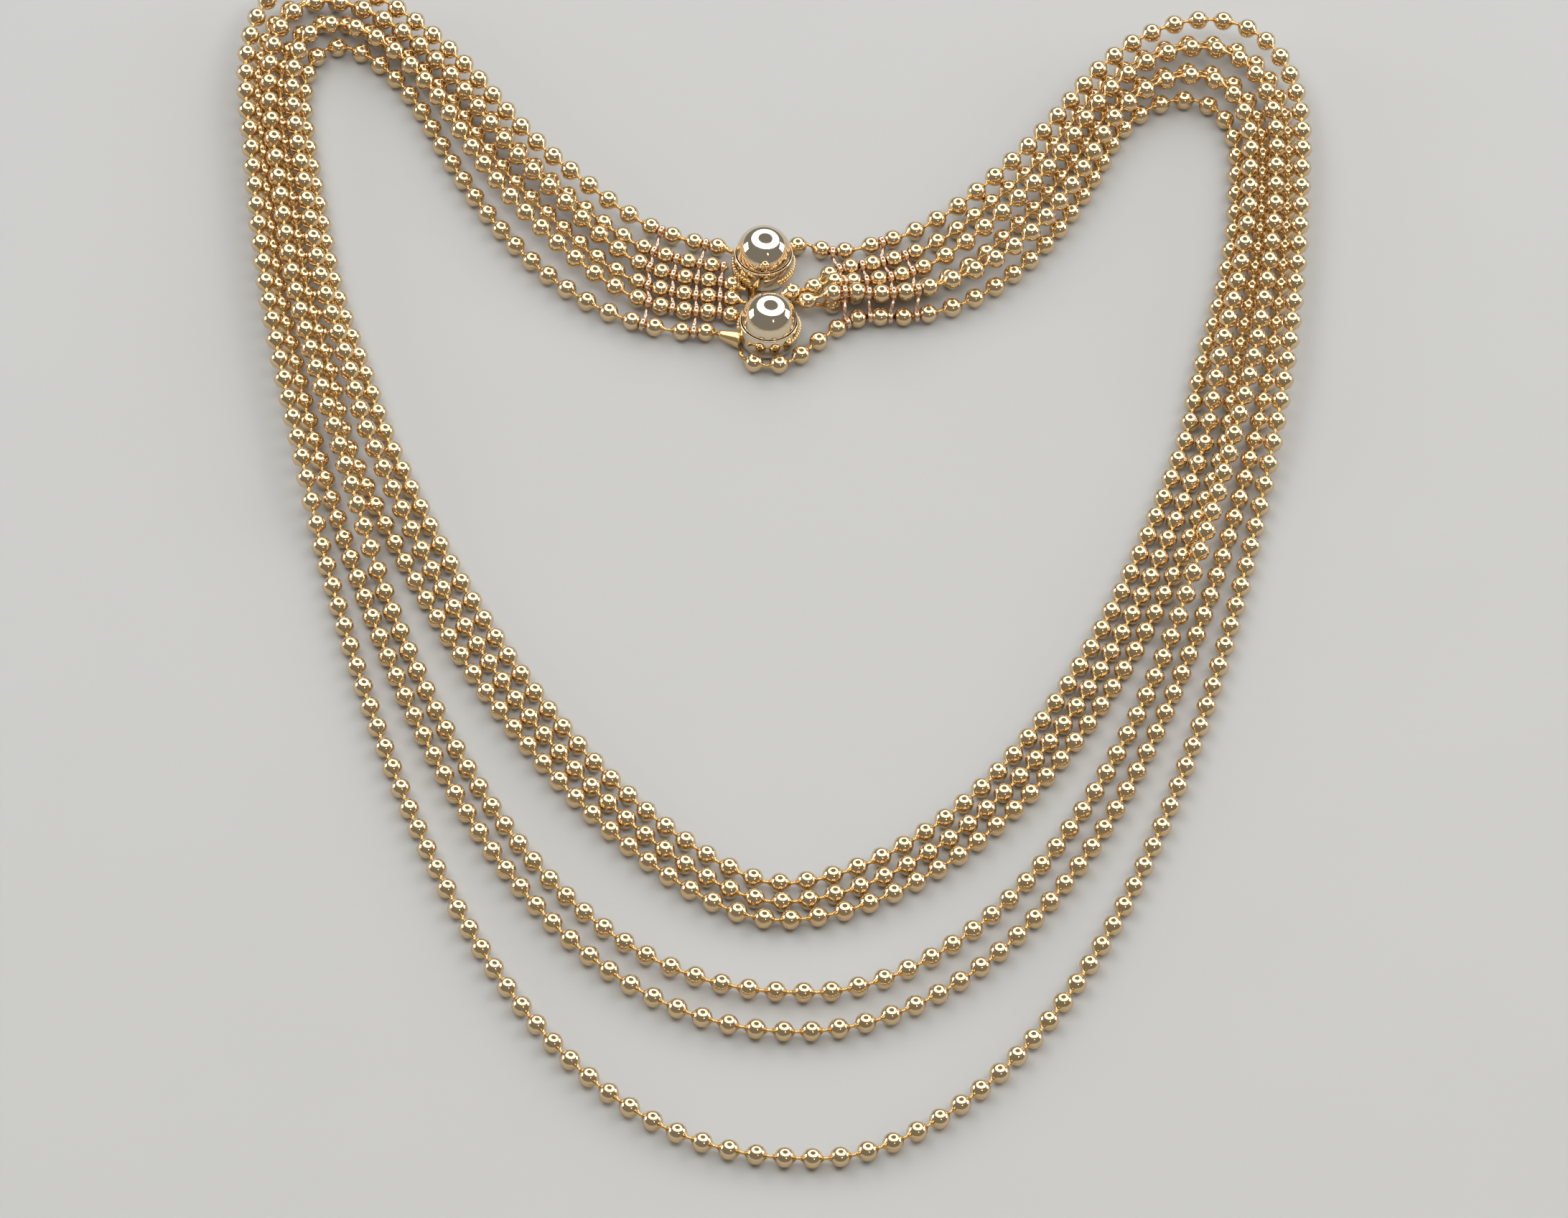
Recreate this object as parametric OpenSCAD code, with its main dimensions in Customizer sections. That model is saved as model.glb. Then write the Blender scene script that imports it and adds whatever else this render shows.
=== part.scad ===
// Festoon necklace of six bead strings on a clasp with two polished balls.
// The necklace lies flat, front drop towards -Y and clasp towards +Y.
// All sizes are millimetres. Z is up and the necklace rests on Z = 0.

/* [Strings] */
// Diameter of a polished bead
bead_d = 2.6; // [2.4:0.05:2.65]
// Diameter of the thread between beads
thread_d = 0.7; // [0.5:0.05:0.8]
// Height of the upper layer of strings above the lower one
layer = 2.15; // [2.1:0.05:2.4]

/* [Clasp] */
// Diameter of the two clasp balls
ball_d = 7.2; // [6.8:0.05:7.25]
// Height of the ball centres above the rest plane
ball_z = 4.0; // [3.9:0.05:4.4]
// Height of the rim of the two cups
rim_z = 3.9; // [3.7:0.05:3.95]
// Greatest diameter of the two cups
cup_d = 8.0; // [7.9:0.05:8.1]
// Thickness of the twisted wire round the cups
wire_d = 0.5; // [0.4:0.05:0.5]

/* [Spacers] */
// Outer diameter of a spacer ring
ring_d = 1.75; // [1.6:0.05:1.9]
// Thickness of a spacer ring
ring_t = 0.6; // [0.5:0.05:0.65]
// Diameter of the bars between the spacer rings
bar_d = 0.5; // [0.4:0.05:0.5]

/* [Shown] */
// Part to show

/* [Hidden] */
// Plane point that becomes the origin
centre = [0.199, 11.203];
fine = 48;
small = 24;
// Play between pieces that touch in the real necklace
play = 0.1;
// A string is one tube of about the beads' mean thickness
tube_r = 0.46 * bead_d;
tube_sides = 8;
thread_r = thread_d / 2;
low = bead_d / 2;
high = low + layer;
// Half the free length at a spacer, and where the tube is full again
neck = 0.45;
full = 0.95;
// Length over which the tube grows from the thread at an end
grow = 0.6;
// Longest way between two rings of a tail
tail_step = 2.4;

LEFT = 0;
RIGHT = 1;
STRINGS = 6;

// Front of a string: height and place of its lowest point, then the catenary
// size and the bottom flattening on the left and on the right
// [y, x, size_left, flat_left, size_right, flat_right]
FRONT = [
    [-46.8, -1.2, 40.6, 21.6, 32.8, 5.2],
    [-60.9, 2.0, 25.5, -3.8, 28.6, 3.4],
    [-66.9, 0.5, 27.0, -1.5, 28.9, 0.9],
    [-86.1, 2.5, 25.7, -3.9, 29.2, 5.5]
];
flat_reach = 6.8;
// Strings 1 and 3 keep this distance to string 2, a little more at the bottom
beside = 2.62;
beside_more = [0.3, 0, 0.2];
beside_reach = 22;
// Length of the front run from the lowest point: [left, right], rows as above
FRONT_LENGTH = [[93, 97], [114, 110], [119, 118], [140, 135]];

// Stations of the arms, top last: [y, x of string 6, width of the band]
ARM = [
    [[41, 64.8, 10.8], [54, 66.8, 9.2], [68, 68.3, 8.4], [84, 69.7, 7.6]],
    [[41, 66.3, 11.1], [54, 68.1, 9.6], [66, 69.4, 8.6], [76, 70.2, 8.6]]
];
// Where a string climbs to the upper layer in the arm: [y from, y to]
// for strings 2, 4 and 6
ARM_LIFT = [[[2, 30], [2, 18], [10, 24]], [[24, 42], [-8, 12], [14, 38]]];
// Back band by the clasp, edge curves of string 6 (outer) and 1 (inner):
// [x, y, slope, catenary size, length]
OUTER = [[7.0, 62.0, 0.21, 28.7, 40], [8.0, 61.2, 0.18, 30.5, 43]];
INNER = [[8.0, 47.3, -0.09, 21.5, 55], [13.0, 50.0, -0.12, 18.2, 46]];
// Place of each string across the band, 0 outer and 1 inner: at the clasp and far from it
ACROSS = [[1, 0.77, 0.59, 0.41, 0.23, 0], [1, 0.81, 0.67, 0.455, 0.24, 0]];
ACROSS_FAR = [[1, 0.73, 0.47, 0.31, 0.145, 0], [1, 0.85, 0.57, 0.42, 0.15, 0]];
// Where a string climbs in the back band: [x from, x to], strings 2, 4, 6
BACK_LIFT = [[[14, 32], [14, 32], [14, 28]], [[-9, -8], [16, 32], [18, 34]]];
// Reach of the turn's handles: [outer down, outer back, inner down, inner back]
TURN = [[100, 100, 62, 58], [92, 74, 50, 42]];
// Ends of the strings at the clasp, from the end outwards: [x, y, z]
TAIL_LEFT = [
    [],
    [[4.9, 49.6, 1.3]],
    [[3.95, 52.3, 1.3]],
    [[3.95, 54.6, 1.3]],
    [[6.15, 58.4, 1.3]],
    [[5.5, 61.15, 1.3]]
];
TAIL_RIGHT = [
    [[-4.75, 44.2, 1.3], [-4.8, 43.05, 1.3], [-3.75, 42.1, 1.3], [-0.55, 41.5, 1.3],
        [2.6, 42.95, 1.3], [5.15, 45.45, 1.3], [7.7, 47.75, 1.3], [9.6, 49.2, 1.3]],
    [[2.35, 51.9, 1.15], [3.8, 50.95, 3.1], [7.4, 51.9, 3.75], [9.8, 52.2, 3.75]],
    [[2.15, 52.9, 0.8], [6.5, 52.0, 1.3], [8.6, 52.5, 1.3], [10.2, 53.5, 1.3]],
    [[-0.1, 52.45, 2.45], [1.5, 52.6, 2.9], [4.1, 53.4, 2.8], [7.0, 54.4, 3.1]],
    [[2.3, 53.9, 0.8], [6.2, 56.6, 1.3]],
    [[2.0, 61.7, 1.3], [3.4, 62.5, 1.3], [5.5, 61.9, 1.3]]
];
// Length of plain thread at the end of each string: [left, right]
BARE = [[0.4, 1.7], [0.4, 3.0], [0.9, 3.2], [1.8, 0.4], [0.4, 3.9], [0.4, 0.6]];
// Spacer places: x of the ring on strings 1 to 6, 0 where a string has none
SPACER_LEFT = [
    [0, 7.45, 7.35, 7.25, 6.8, 0],
    [10.9, 10.5, 10.5, 10.3, 9.9, 9.1],
    [0, 13.6, 13.6, 13.4, 12.9, 0],
    [17.5, 16.7, 16.7, 16.5, 15.9, 14.9]
];
SPACER_RIGHT = [
    [9.1, 8.9, 8.8, 8.7, 8.3, 7.6],
    [12.2, 12.1, 12.2, 11.9, 11.4, 0],
    [14.9, 15.3, 15.2, 15.1, 14.1, 14.1],
    [18.3, 18.5, 18.2, 18.0, 17.1, 0]
];
// Places of the clasp
UPPER = [-1.6, 58.8];
LOWER = [-1.1, 47.1];
// Outline of a cup from foot to rim: [height, how much narrower than its greatest radius]
CUP = [[0, 0.6], [0.5, 0.25], [1.1, 0], [2.9, 0], [rim_z, 0.18]];
// Twisted wires round the cups, open at the front: [height, from, sweep]
UPPER_WIRES = [[2.1, -62, 304], [1.55, -58, 300], [1.0, 150, 95], [0.45, 150, 90]];
LOWER_WIRES = [[2.7, -50, 235]];
// Bar between the cups: foot, diameter and length
BRIDGE = [[-3.1, 49.9, 0.6], 1.2, 5.8];
// Plate and post of the tongue: corner and size
PLATE = [[-1.5, 51.8, 0], [3.4, 1.8, 1.4]];
POST = [[-1.5, 51.9, 0], [1.2, 1.1, 2.4]];
// End cone of string 1: foot, direction, diameters of the foot and the mouth, length
CONE = [[-7.7, 46.9, 1.3], [2.8, -1, 0], 1.0, 2.4, 3.2];

// Curves

function smooth(x, a, b) = let (t = min(1, max(0, (x - a) / (b - a)))) t * t * (3 - 2 * t);
function tanh(x) = 1 - 2 / (exp(2 * x) + 1);
function asinh(x) = ln(x + sqrt(x * x + 1));
function unit(v) = v / norm(v);
function last(v) = v[len(v) - 1];
function hermite(p, q, u, v, t) = p * (2 * t ^ 3 - 3 * t ^ 2 + 1) + u * (t ^ 3 - 2 * t ^ 2 + t)
    + q * (3 * t ^ 2 - 2 * t ^ 3) + v * (t ^ 3 - t ^ 2);

// Smooth curve through points, with the directions at both ends, n steps a span
function through(p, first, final, n) = let (
    m = len(p) - 1,
    dir = [for (i = [0:m]) i == 0 ? first : i == m ? final : unit(p[i + 1] - p[i - 1])])
    concat([for (i = [0:m - 1], j = [0:n - 1]) let (d = norm(p[i + 1] - p[i]))
        hermite(p[i], p[i + 1], dir[i] * d, dir[i + 1] * d, j / n)], [p[m]]);

// Hanging front of one string from its lowest point outwards, n steps
function front(k, side, n) = let (
    row = k <= 3 ? 0 : k - 3,
    f = FRONT[row],
    size = f[2 + 2 * side],
    flat = f[3 + 2 * side],
    sub = 4,
    ds = FRONT_LENGTH[row][side] / (n * sub),
    slope = function (s) (s + flat * tanh(s / flat_reach)) / size,
    run = [for (i = 0, x = f[1] * (side == LEFT ? -1 : 1), y = f[0]; i <= n * sub;
        x = x + ds * cos(atan(slope((i + 0.5) * ds))),
        y = y + ds * sin(atan(slope((i + 0.5) * ds))), i = i + 1) [x, y]],
    away = k == 1 ? 1 : k == 3 ? -1 : 0)
    [for (i = [0:n]) let (
        s = i * sub * ds,
        a = atan(slope(s)),
        off = away == 0 ? 0 : away * (beside + beside_more[k - 1] * exp(-(s / beside_reach) ^ 2)))
        run[i * sub] + off * [-sin(a), cos(a)]];

// Edge curve of the back band
function edge(e, t) = let (s = e[2] + t * e[4] / e[3])
    [e[0] + e[3] * (asinh(s) - asinh(e[2])), e[1] + e[3] * (sqrt(1 + s * s) - sqrt(1 + e[2] ^ 2))];
function edge_slope(e) = e[2] + e[4] / e[3];
function even_share(k) = (STRINGS - k) / (STRINGS - 1);
function even(k) = k % 2 == 0;

// Back band of string k, n steps from the clasp outwards
function band(k, side, n) = [for (i = [0:n]) let (
    t = i / n,
    far = smooth(t, 0.2, 0.6),
    share = ACROSS[side][k - 1] * (1 - far) + ACROSS_FAR[side][k - 1] * far,
    p = edge(OUTER[side], t) * (1 - share) + edge(INNER[side], t) * share,
    lift = even(k) ? smooth(p.x, BACK_LIFT[side][k / 2 - 1][0], BACK_LIFT[side][k / 2 - 1][1]) : 0)
    [p.x, p.y, low + layer * lift]];

// Turn from the back band into the arm, nested round the corner
function turn_edge(e, to, reach_down, reach_back, t) = hermite(edge(e, 1), to,
    unit([1, edge_slope(e)]) * reach_back, unit([-0.1, -1]) * reach_down, t);
function turn(k, side, n) = let (top = last(ARM[side]), r = TURN[side])
    [for (i = [1:n - 1]) let (
        outer = turn_edge(OUTER[side], [top[1], top[0]], r[0], r[1], i / n),
        inner = turn_edge(INNER[side], [top[1] - top[2], top[0]], r[2], r[3], i / n),
        far = 1 - smooth(i / n, 0, 0.7),
        share = ACROSS_FAR[side][k - 1] * far + even_share(k) * (1 - far),
        p = outer + (inner - outer) * share)
        [p.x, p.y, even(k) ? low + layer : low]];

function arm_height(k, side, y) = even(k)
    ? low + layer * smooth(y, ARM_LIFT[side][k / 2 - 1][0], ARM_LIFT[side][k / 2 - 1][1]) : low;
function arm_station(k, side, s) =
    [s[1] - s[2] * even_share(k), s[0], arm_height(k, side, s[0])];

// Arm and front of string k from the top of the arm down to the lowest point
function arm(k, side, n, front_n) = let (
    run = [for (p = front(k, side, front_n)) [p.x, p.y, arm_height(k, side, p.y)]],
    down = unit(run[front_n - 1] - run[front_n]),
    s = ARM[side],
    p = concat([for (i = [len(s) - 1:-1:0]) arm_station(k, side, s[i])], [run[front_n]]))
    concat(through(p, unit([-0.1, -1, 0]), down, n), [for (i = [front_n - 1:-1:0]) run[i]]);

// Tail of string k at the clasp and the back band, in fine steps
function tail(k, side) = (side == LEFT ? TAIL_LEFT : TAIL_RIGHT)[k - 1];
function near(k, side) = let (
    b = band(k, side, 24),
    t = tail(k, side),
    p = concat(t, [b[0]]))
    len(t) == 0 ? b : concat(through(p, unit(p[1] - p[0]), unit(b[1] - b[0]), 6),
        [for (i = [1:len(b) - 1]) b[i]]);
function lengths(p) = [for (i = 0, s = 0; i < len(p);
    s = s + (i < len(p) - 1 ? norm(p[i + 1] - p[i]) : 0), i = i + 1) s];
function at(p, s, x) = [for (j = [0:2]) lookup(x, [for (i = [0:len(p) - 1]) [s[i], p[i][j]]])];

// Places along the string where the spacers sit, from the clasp outwards
function spacers(side) = side == LEFT ? SPACER_LEFT : SPACER_RIGHT;
function spacer_places(k, side, p, s) = let (by_x = [for (i = [0:len(p) - 1]) [p[i].x, s[i]]])
    [for (row = spacers(side)) if (row[k - 1] > 0) lookup(row[k - 1], by_x)];

// Tube rings of one side of string k: [point, radius], from the clasp outwards
function side_rings(k, side) = let (
    p = near(k, side),
    s = lengths(p),
    marks = spacer_places(k, side, p, s),
    bare = BARE[k - 1][side],
    start = bare + grow,
    free = marks[0] - full - start,
    n = ceil(free / tail_step),
    knots = concat([[0, thread_r]], free > 0 ? [[bare, thread_r], [start, tube_r]] : [],
        n > 1 ? [for (i = [1:n - 1]) [start + free * i / n, tube_r]] : [],
        [for (m = marks, d = [-full, -neck, neck, full]) if (m + d > play)
            [m + d, abs(d) == full && m + d > start ? tube_r : thread_r]]),
    rest = concat([for (i = [1:9]) band(k, side, 9)[i]], turn(k, side, 10),
        arm(k, side, 2, ceil(FRONT_LENGTH[max(0, k - 3)][side] / 9.5))),
    from = at(p, s, last(marks) + full).x + 2)
    concat([for (q = knots) [at(p, s, q[0]), q[1]]],
        [for (i = [0:len(rest) - 1]) if (i > 8 || rest[i].x > from) [rest[i], tube_r]]);
function flip(p) = [-p.x, p.y, p.z];
function string_rings(k) = let (l = side_rings(k, LEFT), r = side_rings(k, RIGHT))
    concat([for (q = l) [flip(q[0]), q[1]]], [for (i = [len(r) - 2:-1:0]) r[i]]);

// Tube through rings, an octagon with one corner down
module tube(rings) {
    n = len(rings);
    m = tube_sides;
    points = [for (i = [0:n - 1]) let (
        p = rings[i][0],
        ahead = unit(rings[min(i + 1, n - 1)][0] - rings[max(i - 1, 0)][0]),
        across = unit(cross(ahead, [0, 0, 1])),
        up = cross(across, ahead))
        each [for (j = [0:m - 1]) p + rings[i][1] * (across * cos(j * 360 / m) + up * sin(j * 360 / m))]];
    faces = concat([[for (j = [m - 1:-1:0]) j]], [[for (j = [0:m - 1]) (n - 1) * m + j]],
        [for (i = [0:n - 2], j = [0:m - 1]) each [
            [i * m + j, i * m + (j + 1) % m, (i + 1) * m + (j + 1) % m],
            [i * m + j, (i + 1) * m + (j + 1) % m, (i + 1) * m + j]]]);
    polyhedron(points, faces, convexity = 10);
}

module gold() color([0.86, 0.68, 0.36]) translate([-centre.x, -centre.y, 0]) children();

module string(k) gold() tube(string_rings(k));

// Turns Z into the direction v and moves to p
module along(p, v) translate(p) rotate([0, acos(v.z / norm(v)), atan2(v.y, v.x)]) children();

// Point in the metal of a spacer ring [centre, axis] that faces p
function rim(m, p) = let (v = p - m[0], a = unit(m[1])) m[0] + (ring_d / 2 - 0.2) * unit(v - a * (v * a));

// Pierced rings round the threads, joined by bars
module spacer(side, row) {
    marks = [for (k = [1:STRINGS]) let (x = spacers(side)[row - 1][k - 1]) if (x > 0) let (
        p = near(k, side),
        s = lengths(p),
        m = lookup(x, [for (i = [0:len(p) - 1]) [p[i].x, s[i]]]))
        [at(p, s, m), at(p, s, m + 0.3) - at(p, s, m - 0.3)]];
    gold() mirror([side == LEFT ? 1 : 0, 0, 0]) difference() {
        union() {
            for (m = marks) along(m[0], m[1])
                cylinder(d = ring_d, h = ring_t, center = true, $fn = small);
            for (i = [0:len(marks) - 2]) let (
                a = rim(marks[i], marks[i + 1][0]),
                b = rim(marks[i + 1], marks[i][0]))
                along(a, b - a) cylinder(d = bar_d, h = norm(b - a), $fn = small);
        }
        for (m = marks) along(m[0], m[1])
            cylinder(d = thread_d + 3 * play, h = 4 * ring_t, center = true, $fn = small);
    }
}

function cup_r(z) = cup_d / 2 - lookup(z, CUP);

// Cup with a bulging wall and a round seat for a ball
module cup(place) translate([place.x, place.y, 0]) difference() {
    rotate_extrude($fn = fine) polygon(concat([[0, 0]], [for (c = CUP) [cup_r(c[0]), c[0]]], [[0, rim_z]]));
    translate([0, 0, ball_z]) sphere(d = ball_d + 2 * play, $fn = fine);
}
module wires(place, rows) for (w = rows) translate([place.x, place.y, w[0]]) rotate(w[1])
    rotate_extrude(angle = w[2], $fn = fine) translate([cup_r(w[0]), 0]) circle(d = wire_d, $fn = small);
module block(b) translate(b[0]) cube(b[1]);

// Both cups with their twisted wires, the bar between them and the end cone
module clasp_setting() gold() union() {
    cup(UPPER);
    cup(LOWER);
    wires(UPPER, UPPER_WIRES);
    wires(LOWER, LOWER_WIRES);
    along(BRIDGE[0], [0, 1, 0]) cylinder(d = BRIDGE[1], h = BRIDGE[2], $fn = small);
    along(CONE[0], CONE[1]) cylinder(d1 = CONE[2], d2 = CONE[3], h = CONE[4], $fn = small);
}
module clasp_ball(place) gold() translate([place.x, place.y, ball_z]) sphere(d = ball_d, $fn = fine);
module clasp_ball_upper() clasp_ball(UPPER);
module clasp_ball_lower() clasp_ball(LOWER);

// Plain plate of the right half that slips between the cups
module clasp_tongue() gold() union() {
    block(PLATE);
    block(POST);
}

string(1);  // string_1
string(2);  // string_2
string(3);  // string_3
string(4);  // string_4
string(5);  // string_5
string(6);  // string_6
spacer(LEFT, 1);  // spacer_left_1
spacer(LEFT, 2);  // spacer_left_2
spacer(LEFT, 3);  // spacer_left_3
spacer(LEFT, 4);  // spacer_left_4
spacer(RIGHT, 1);  // spacer_right_1
spacer(RIGHT, 2);  // spacer_right_2
spacer(RIGHT, 3);  // spacer_right_3
spacer(RIGHT, 4);  // spacer_right_4
clasp_setting();
clasp_ball_upper();
clasp_ball_lower();
clasp_tongue();
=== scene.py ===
import logging
import math
from dataclasses import dataclass
from enum import Enum

import bpy
import numpy as np
from mathutils import Matrix


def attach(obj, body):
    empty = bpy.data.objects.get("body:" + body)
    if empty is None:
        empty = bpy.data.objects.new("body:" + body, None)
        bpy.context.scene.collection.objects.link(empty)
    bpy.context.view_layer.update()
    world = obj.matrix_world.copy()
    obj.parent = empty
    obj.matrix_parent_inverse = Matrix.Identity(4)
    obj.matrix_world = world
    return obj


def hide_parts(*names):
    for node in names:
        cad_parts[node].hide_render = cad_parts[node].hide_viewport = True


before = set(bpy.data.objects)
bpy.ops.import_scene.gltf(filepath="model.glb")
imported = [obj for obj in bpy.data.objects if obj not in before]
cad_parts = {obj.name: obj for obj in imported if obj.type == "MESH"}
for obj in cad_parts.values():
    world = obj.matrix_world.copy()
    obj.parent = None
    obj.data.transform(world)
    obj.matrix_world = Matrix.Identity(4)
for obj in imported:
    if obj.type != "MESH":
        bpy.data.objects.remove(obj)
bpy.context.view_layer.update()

LOG = logging.getLogger("necklace")
MM = 0.001
CENTRE = np.array([0.199, 11.203, 0.0])
ALONG_X = np.array([1.0, 0.0, 0.0])
ALONG_Y = np.array([0.0, 1.0, 0.0])
UP = np.array([0.0, 0.0, 1.0])
STRINGS = 6
PLACE_SEED = 40
TONE_SEED = 7
UPRIGHT = 0.999

Triple = tuple[float, float, float]


class Side(Enum):
    """Half of the necklace, seen from above with the clasp at the top."""

    LEFT = 0
    RIGHT = 1

    @property
    def sign(self) -> int:
        """Direction of this half along X."""
        return -1 if self is Side.LEFT else 1


# Curves


def smooth(x: np.ndarray | float, a: float, b: float) -> np.ndarray | float:
    """Smooth step: 3 t^2 - 2 t^3 with t going from 0 at a to 1 at b."""
    t = np.clip((x - a) / (b - a), 0.0, 1.0)
    return t * t * (3 - 2 * t)


def unit(v: np.ndarray) -> np.ndarray:
    """Rows of v at length 1."""
    return v / np.linalg.norm(v, axis=-1, keepdims=True)


def hermite(p: np.ndarray, q: np.ndarray, u: np.ndarray, v: np.ndarray,
            t: np.ndarray) -> np.ndarray:
    """Cubic from p to q that leaves along u and arrives along v.

    Args:
        p, q: End points.
        u, v: Velocities at the ends.
        t: Parameters from 0 to 1.

    Returns:
        Points of the cubic, one row for each t.
    """
    t = np.asarray(t)[:, None]
    return (p * (2 * t**3 - 3 * t**2 + 1) + u * (t**3 - 2 * t**2 + t)
            + q * (3 * t**2 - 2 * t**3) + v * (t**3 - t**2))


def through(p: np.ndarray, first: np.ndarray, final: np.ndarray, n: int) -> np.ndarray:
    """Smooth curve through points, each span a cubic as fast as the span is long.

    Args:
        p: Points, one a row.
        first, final: Directions at the two ends.
        n: Steps in a span.

    Returns:
        Points of the curve with both ends.
    """
    middle = unit(p[2:] - p[:-2]) if len(p) > 2 else np.zeros((0, p.shape[1]))
    way = np.vstack([first, middle, final])
    t = np.arange(n) / n
    spans = [hermite(p[i], p[i + 1], way[i] * d, way[i + 1] * d, t)
             for i, d in enumerate(np.linalg.norm(np.diff(p, axis=0), axis=1))]
    return np.vstack([*spans, p[-1:]])


def lengths(p: np.ndarray) -> np.ndarray:
    """Length along the points up to each of them."""
    return np.r_[0.0, np.cumsum(np.linalg.norm(np.diff(p, axis=0), axis=1))]


def at(p: np.ndarray, s: np.ndarray, x: np.ndarray | float) -> np.ndarray:
    """Points at the lengths x along p, whose own lengths are s."""
    return np.stack([np.interp(x, s, p[:, j]) for j in range(3)], axis=-1)


def way_at(p: np.ndarray, s: np.ndarray, x: np.ndarray | float, reach: float) -> np.ndarray:
    """Directions at the lengths x along p: the chord from x - reach to x + reach."""
    return unit(at(p, s, x + reach) - at(p, s, x - reach))


@dataclass(frozen=True)
class Swag:
    """Front run of a string: its lowest point, and a flattened catenary on each side.

    Attributes:
        y, x: Lowest point.
        size, flat, length: Catenary size, flattening and length, left and right.
    """

    y: float
    x: float
    size: tuple[float, float]
    flat: tuple[float, float]
    length: tuple[float, float]


@dataclass(frozen=True)
class Edge:
    """Half catenary along an edge of the back band, from near the clasp outwards.

    Attributes:
        x, y, slope: Its start, and the slope there.
        size, length: Catenary size and length.
    """

    x: float
    y: float
    slope: float
    size: float
    length: float

    def points(self, t: np.ndarray) -> np.ndarray:
        """Points at the fractions t of the length: x by asinh, y by the root of 1 + slope^2."""
        s = self.slope + t * self.length / self.size
        return np.stack([
            self.x + self.size * (np.arcsinh(s) - math.asinh(self.slope)),
            self.y + self.size * (np.sqrt(1 + s * s) - math.sqrt(1 + self.slope**2))], axis=-1)

    def end(self) -> np.ndarray:
        """Point at the far end."""
        return self.points(np.ones(1))[0]

    def direction(self) -> np.ndarray:
        """Direction at the far end."""
        return unit(np.array([1.0, self.slope + self.length / self.size]))


@dataclass(frozen=True)
class Station:
    """Line across an arm: its y, the x of string 6, and the band's width."""

    y: float
    x: float
    width: float

    def across(self, share: float) -> float:
        """The x at a share of the band, 0 outside and 1 inside."""
        return self.x - self.width * share


@dataclass(frozen=True)
class Half:
    """Everything that is given for one half, in millimetres, with x growing outwards.

    Attributes:
        side: Which half it is.
        outer, inner: Edges of the back band.
        across, across_far: Each string's share of the band, near the clasp and away from it.
        back_lift: Where a string climbs to the upper layer along X in the back band.
        arm_lift: Where it does so along Y in the arm.
        arm: Stations from the lowest one up.
        turn: Speeds of the turn from the back band into the arm: outer edge at the arm and
            at the band, then inner edge at the arm and at the band.
        tails: For each string, points from its end at the clasp to the band.
        spacers: For each spacer, the x where it meets each string, or 0 where it doesn't.
        beads_before: For each string, beads from its end to its first spacer.
        pitch_before: For each string, the pitch of these beads.
    """

    side: Side
    outer: Edge
    inner: Edge
    across: tuple[float, ...]
    across_far: tuple[float, ...]
    back_lift: dict[int, tuple[float, float]]
    arm_lift: dict[int, tuple[float, float]]
    arm: tuple[Station, ...]
    turn: tuple[float, float, float, float]
    tails: tuple[tuple[Triple, ...], ...]
    spacers: tuple[tuple[float, ...], ...]
    beads_before: tuple[int, ...]
    pitch_before: tuple[float, ...]

    @property
    def flip(self) -> np.ndarray:
        """Factors that bring this half's points to its own side."""
        return np.array([self.side.sign, 1, 1])


SWAGS = {
    1: Swag(y=-46.8, x=-1.2, size=(40.6, 32.8), flat=(21.6, 5.2), length=(93, 97)),
    4: Swag(y=-60.9, x=2.0, size=(25.5, 28.6), flat=(-3.8, 3.4), length=(114, 110)),
    5: Swag(y=-66.9, x=0.5, size=(27.0, 28.9), flat=(-1.5, 0.9), length=(119, 118)),
    6: Swag(y=-86.1, x=2.5, size=(25.7, 29.2), flat=(-3.9, 5.5), length=(140, 135)),
}
LEFT = Half(
    side=Side.LEFT,
    outer=Edge(x=7.0, y=62.0, slope=0.21, size=28.7, length=40),
    inner=Edge(x=8.0, y=47.3, slope=-0.09, size=21.5, length=55),
    across=(1, 0.77, 0.59, 0.41, 0.23, 0),
    across_far=(1, 0.73, 0.47, 0.31, 0.145, 0),
    back_lift={2: (14, 32), 4: (14, 32), 6: (14, 28)},
    arm_lift={2: (2, 30), 4: (2, 18), 6: (10, 24)},
    arm=(Station(y=41, x=64.8, width=10.8), Station(y=54, x=66.8, width=9.2),
         Station(y=68, x=68.3, width=8.4), Station(y=84, x=69.7, width=7.6)),
    turn=(100, 100, 62, 58),
    tails=((),
           ((4.9, 49.6, 1.3),),
           ((3.95, 52.3, 1.3),),
           ((3.95, 54.6, 1.3),),
           ((6.15, 58.4, 1.3),),
           ((5.5, 61.15, 1.3),)),
    spacers=((0, 7.45, 7.35, 7.25, 6.8, 0),
             (10.9, 10.5, 10.5, 10.3, 9.9, 9.1),
             (0, 13.6, 13.6, 13.4, 12.9, 0),
             (17.5, 16.7, 16.7, 16.5, 15.9, 14.9)),
    beads_before=(1, 1, 1, 1, 0, 1),
    pitch_before=(3.3, 3.3, 3.3, 3.3, 3.3, 3.3),
)
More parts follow.
